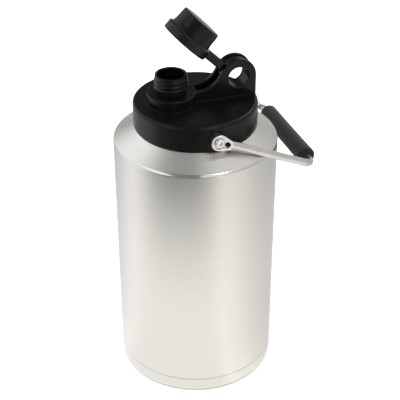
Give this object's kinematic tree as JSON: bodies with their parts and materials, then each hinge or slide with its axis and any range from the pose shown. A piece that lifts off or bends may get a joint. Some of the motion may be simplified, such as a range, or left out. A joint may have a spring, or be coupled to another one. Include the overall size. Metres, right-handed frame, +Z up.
{
  "type": "growler",
  "caption": "Insulated steel growler with a screw lid, a pour spout with a tethered screw cap, and a swinging steel bail with a soft grip.",
  "frame": {"origin": "centre of the base, on the surface that the growler stands on", "axes": "+Z up along the vessel's axis; -X toward the pour spout, +X toward the cap's hinge; the bail turns about an axis along Y"},
  "size_m": [0.1771, 0.152, 0.3711],
  "materials": {
    "brushed_shell": "brushed around the axis",
    "bare_steel": "spun, satin",
    "satin_rod": "satin",
    "polished_steel": "polished",
    "black_plastic": "fine moulded texture",
    "tether_plastic": "fine moulded texture",
    "silicone": "matte",
    "grip_foam": "closed-cell foam, matte",
    "insulating_foam": "rigid foam",
    "nylon": "plain",
    "brass": "knurled, turned"
  },
  "bodies": {
    "vessel": {"outer_shell": "brushed_shell", "inner_liner": "bare_steel", "base_cap": "brushed_shell", "base_plate": "bare_steel", "vacuum_seal": "bare_steel", "getter": "bare_steel"},
    "gasket": {"lid_gasket": "silicone"},
    "lid": {"lid_shell": "black_plastic", "lid_liner": "black_plastic", "lid_insulation": "insulating_foam", "spout": "black_plastic", "hinge_sleeve": "black_plastic", "pivot_washer_front": "nylon", "pivot_washer_rear": "nylon", "pivot_bush_front": "polished_steel", "pivot_bush_rear": "polished_steel", "pivot_screw_front": "polished_steel", "pivot_screw_rear": "polished_steel", "screw_insert_front": "brass", "screw_insert_rear": "brass"},
    "tether": {"cap_tether": "tether_plastic"},
    "cap": {"spout_cap": "black_plastic", "cap_seal": "silicone"},
    "bail": {"bail_rod": "satin_rod", "bail_end_front": "polished_steel", "bail_end_rear": "polished_steel", "handle_grip": "grip_foam"}
  },
  "joints": [
    {"name": "lid_lift", "type": "slide", "parent": "vessel", "child": "gasket", "axis": [0, 0, 1], "range_m": [0, 0.0121]},
    {"name": "lid_turn", "type": "hinge", "parent": "gasket", "child": "lid", "pos_m": [0, 0, 0.27], "axis": [0, 0, 1], "range_deg": [0, 720]},
    {"name": "bail_swing", "type": "hinge", "parent": "lid", "child": "bail", "pos_m": [0, 0, 0.272], "axis": [0, -1, 0], "range_deg": [0, 102]},
    {"name": "cap_swing", "type": "hinge", "parent": "lid", "child": "tether", "pos_m": [0.0385, 0, 0.3031], "axis": [0, 1, 0], "range_deg": [-44.4, 135.6]},
    {"name": "cap_turn", "type": "hinge", "parent": "tether", "child": "cap", "pos_m": [-0.00733, 0, 0.34392], "axis": [0.6997, 0, 0.7145], "continuous": true}
  ],
  "couplings": [
    {"joint": "lid_lift", "follows": "lid_turn", "m_per_rad": 0.00095493}
  ]
}
